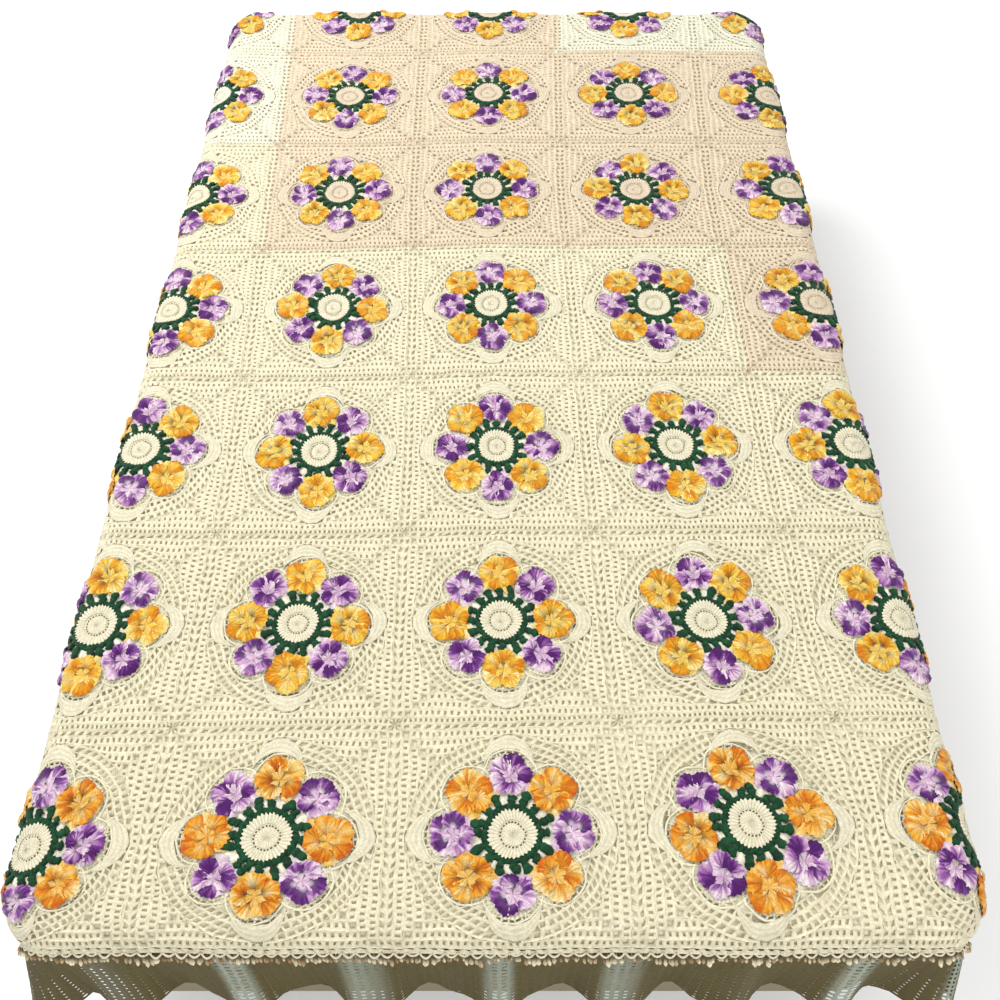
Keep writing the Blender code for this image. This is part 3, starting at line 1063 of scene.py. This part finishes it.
def makeFrill():
    # picots side by side: each is a post, painted dark brown as painted shadow, that swells to a pale knob
    # and leans its own way, in clusters of longer and shorter ones, the knobs outside the clusters painted
    # darker as painted shade; and a chain of small loops along the hem above them
    mesh = Mesh()
    rng = np.random.default_rng(8)
    count = round(hemLength / frill["pitch"])
    s = (np.arange(count) + rng.uniform(-0.3, 0.3, count)) / count
    v = np.linspace(0, 1, len(frill["widths"]))
    cluster = 0.5 + 0.5 * np.sin(2 * math.pi * 97 * s + 1.3 * np.sin(2 * math.pi * 23 * s))
    length = frill["length"] * (0.72 + 0.34 * cluster + rng.uniform(-0.10, 0.10, count))
    point, outward = atHem(s[:, None] + 0 * v[None])
    slant = frill["slant"] + rng.normal(0, 0.16, count) + 0.12 * np.sin(2 * math.pi * s * 83)
    alongHem = np.stack([-outward[..., 1], outward[..., 0]], -1)
    path = point.copy()
    path[..., :2] += outward * (frill["start"] + (length * np.sin(slant))[:, None] * v[None])[..., None]
    path[..., :2] += alongHem * (rng.normal(0.0022, 0.0016, count)[:, None] * v[None])[..., None]
    path[..., 2] -= (length * np.cos(slant))[:, None] * v[None]
    knob = (0.72 + 0.50 * cluster) * rng.uniform(0.85, 1.2, count)
    wide = frill["width"] * np.array(frill["widths"])[None] * knob[:, None]
    # knobs away from the clusters are painted darker, as painted shade
    knobShade = np.clip(rng.normal(0.95, 0.35, count) - 0.8 * cluster, 0, 1)[:, None, None]
    pale = frill["knob"] * (1 - knobShade) + frill["shadedKnob"] * knobShade
    tipShare = np.array(frill["tipShares"])[None, :, None]
    addTubes(mesh, path, wide, 5, pale * tipShare + frill["shadowedPost"] * (1 - tipShare))
    addHemLoops(mesh, rng)
    return mesh


def addHemLoops(mesh, rng):
    # small bows of chain side by side along the hem, each bowing out and sagging by a sine
    count, sections = round(hemLength / hemLoops["pitch"]), hemLoops["sections"]
    v = np.linspace(0, 1, sections)
    point, outward = atHem((np.arange(count)[:, None] + v[None]) / count)
    path = point.copy()
    arch = np.sin(math.pi * v)[None] * rng.uniform(0.6, 1.3, (count, 1))
    path[..., :2] += outward * (hemLoops["out"] + hemLoops["bow"] * arch)[..., None]
    path[..., 2] += hemLoops["rise"] - hemLoops["sag"] * arch
    wide = np.full((count, sections), hemLoops["width"])
    addTubes(mesh, path, wide, 4, np.broadcast_to(creams["C"] * hemLoops["tone"], (count, sections, 3)))


print("laying the ground")
groundPiece = makeGround().build("crochet_ground", creamCotton, "cream_cotton", ["bedspread_top"], weld=True)
print("working the wheels")
wheelPiece = makeWheels().build("cream_wheels", creamCotton, "cream_cotton")
greenPiece = makeGreen().build("green_rings", greenCotton, "green_cotton")
print("sewing on the pansies")
goldPiece = makePansies("gold").build("gold_pansies", pansyCotton, "gold_cotton")
violetPiece = makePansies("violet").build("violet_pansies", pansyCotton, "violet_cotton")
print("hanging the flounce and the frill")
flouncePiece = makeFlounce().build(
    "net_flounce_openwork", netCotton, "net_cotton", ["net_flounce"], weld=True
)
frillPiece = makeFrill().build("picot_frill_loops", creamCotton, "cream_cotton", ["picot_frill"])


# ---- the bed, plain


def plainMaterial(name, colour, roughness, scale, bump, variation):
    # a plain finish whose colour and height vary a little with a fine grain
    made, nodes, links, surface, place = newMaterial(name, {"Roughness": roughness})
    grain = setInputs(nodes.new("ShaderNodeTexNoise"), {"Scale": scale, "Detail": 5})
    links.new(place, grain.inputs["Vector"])
    ramp = nodes.new("ShaderNodeValToRGB")
    low, high = ramp.color_ramp.elements
    low.position, high.position = 0.3, 0.7
    low.color = (*(colour * (1 - variation)), 1)
    high.color = (*np.minimum(colour * (1 + variation), 1), 1)
    links.new(grain.outputs["Fac"], ramp.inputs["Fac"])
    links.new(ramp.outputs["Color"], surface.inputs["Base Color"])
    addBump(nodes, links, surface, grain.outputs["Fac"], bump, 0.001)
    return made


finishes = {
    "mattress": plainMaterial("mattressTicking", creams["C"], 0.9, 400, 0.3, 0.05),
    # the base's dark olive-taupe is painted shade, for a base that stands in shade below the mattress
    "bed_base": plainMaterial("baseFabric", linear(126, 118, 92), 0.95, 500, 0.4, 0.08),
    "bed_foot": plainMaterial("footWood", linear(92, 62, 40), 0.45, 60, 0.15, 0.25),
}
for name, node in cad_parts.items():
    for start, finish in finishes.items():
        if name.startswith(start):
            node.data.materials.clear()
            node.data.materials.append(finish)


# ---- floor, light and camera

studio = {
    "key": {"at": (-1.7, 1.2, 3.4), "size": 1.6, "power": 92},
    "fill": {"at": (1.6, -3.0, 2.9), "size": 2.6, "power": 40},
    "sky": 0.86,
    "floor": 0.93,
}

# where the camera stands from the middle of the bedspread's near edge, and how far it looks down
view = {
    "lens": 35.74,
    "aside": 0.0076,
    "before": 0.217,
    "above": 1.2687,
    "down": math.radians(56),
}


def makeStudio():
    # a pale floor, two soft lamps aimed at the middle of the bedspread, and a white sky
    floorMesh = bpy.data.meshes.new("floor")
    floorMesh.from_pydata([(-30, -30, 0), (30, -30, 0), (30, 30, 0), (-30, 30, 0)], [], [(0, 1, 2, 3)])
    floor = newObject("floor", floorMesh)
    paint = bpy.data.materials.new("paleFloor")
    paint.use_nodes = True
    values = {"Base Color": (*[studio["floor"]] * 3, 1), "Roughness": 0.9}
    setInputs(paint.node_tree.nodes["Principled BSDF"], values)
    floorMesh.materials.append(paint)
    for name in ("key", "fill"):
        data = bpy.data.lights.new(name, "AREA")
        data.size = studio[name]["size"]
        data.energy = studio[name]["power"]
        light = newObject(name, data)
        light.location = studio[name]["at"]
        aim = Vector((0, 0, clothTop)) - Vector(studio[name]["at"])
        light.rotation_euler = aim.to_track_quat("-Z", "Y").to_euler()
    world = bpy.data.worlds.new("studio")
    world.use_nodes = True
    setInputs(world.node_tree.nodes["Background"], {"Color": (1, 1, 1, 1), "Strength": studio["sky"]})
    bpy.context.scene.world = world
    bpy.context.scene.view_settings.view_transform = "Standard"


def makeCamera():
    # the camera over the foot end, looking down along the bed
    data = bpy.data.cameras.new("camera")
    data.sensor_width = 36
    data.lens = view["lens"]
    camera = newObject("camera", data)
    nearEdge = bedMiddle[1] - coreY - cornerCore - rollRadius
    x, y = bedMiddle[0] + view["aside"], nearEdge - view["before"]
    camera.location = (x, y, clothTop + view["above"])
    camera.rotation_euler = (math.pi / 2 - view["down"], 0, 0)
    bpy.context.scene.camera = camera


makeStudio()
makeCamera()
print("ready")
